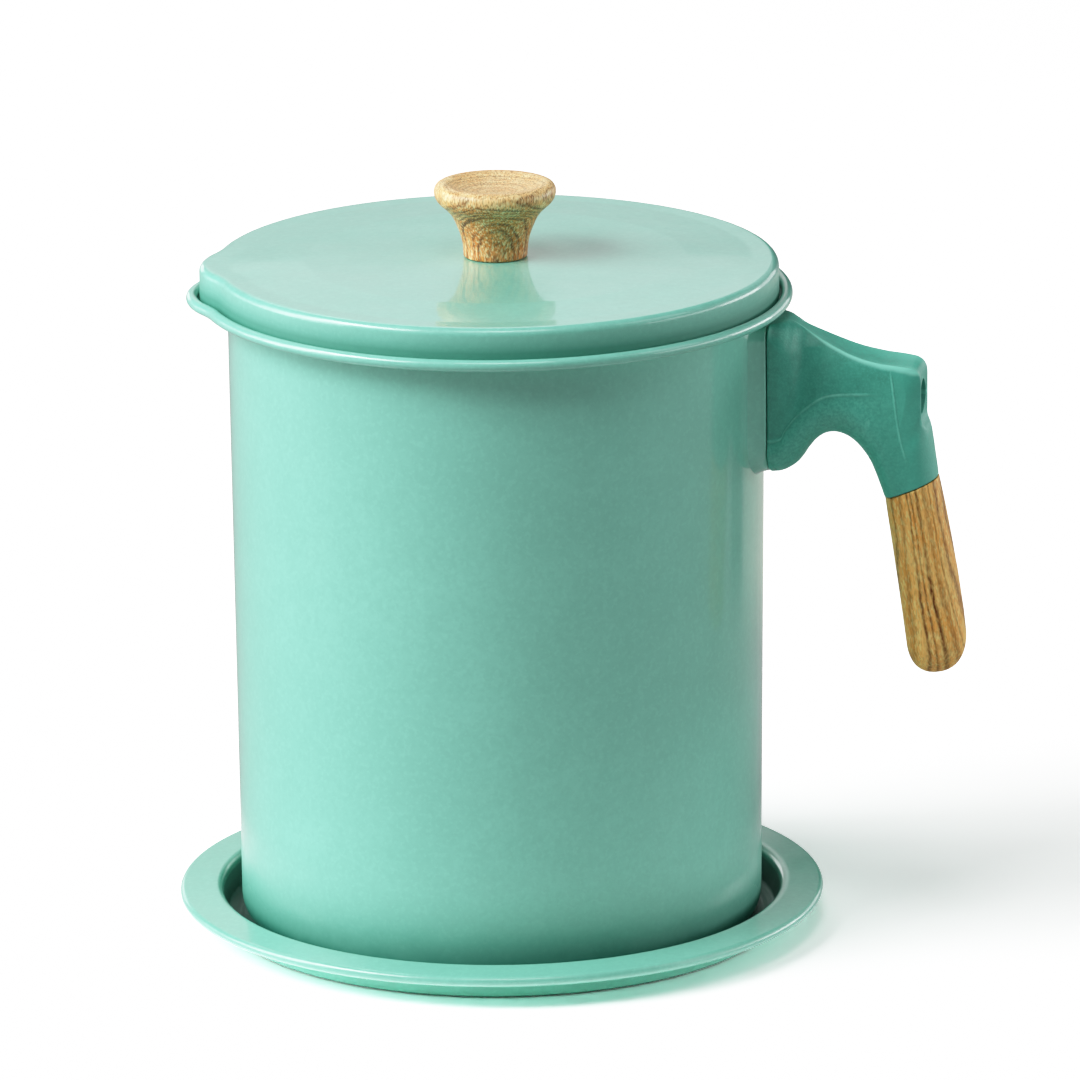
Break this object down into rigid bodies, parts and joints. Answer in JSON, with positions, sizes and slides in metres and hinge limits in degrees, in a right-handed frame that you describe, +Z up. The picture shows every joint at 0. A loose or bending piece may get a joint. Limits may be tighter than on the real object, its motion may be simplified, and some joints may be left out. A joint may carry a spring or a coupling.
{
  "type": "grease container",
  "caption": "Round enamelled grease pot with a pouring nose, side handle and flat lid with a wooden knob, a hanging strainer cup inside, standing in a flanged drip tray.",
  "frame": {"origin": "centre of the drip tray's flat underside, on the pot's axis", "axes": "+Z up, out of the pot's mouth; +X from the pot's axis along the handle"},
  "size_m": [0.1785, 0.1454, 0.1701],
  "materials": {
    "mint_enamel": "glossy mint green enamel paint on pressed sheet steel, satin on the tray's flange",
    "green_phenolic": "finely textured deep green moulded phenolic",
    "wood_grip": "satin golden brown wood with dark lengthwise grain",
    "wood_knob": "satin light brown turned wood with fine grain",
    "steel": "bright zinc plated steel",
    "brass": "turned brass",
    "stainless": "brushed stainless steel",
    "steel_mesh": "fine woven stainless wire"
  },
  "bodies": {
    "tray": {"tray": "mint_enamel"},
    "pot": {"pot_body": "mint_enamel", "handle_bracket": "mint_enamel", "bracket_boss": "steel", "handle_arm": "green_phenolic", "handle_grip": "wood_grip", "handle_screw": "steel", "handle_washer": "steel"},
    "strainer": {"strainer_cup": "stainless", "strainer_mesh": "steel_mesh", "mesh_ring": "stainless"},
    "lid": {"lid": "mint_enamel", "knob": "wood_knob", "knob_insert": "brass", "knob_screw": "steel", "knob_washer": "steel"}
  },
  "joints": [
    {"name": "pot_lift", "type": "slide", "parent": "tray", "child": "pot", "axis": [0, 0, 1], "range_m": [0, 0.06]},
    {"name": "strainer_lift", "type": "slide", "parent": "pot", "child": "strainer", "axis": [0, 0, 1], "range_m": [0, 0.075]},
    {"name": "lid_lift", "type": "slide", "parent": "strainer", "child": "lid", "axis": [0, 0, 1], "range_m": [0, 0.06]}
  ]
}
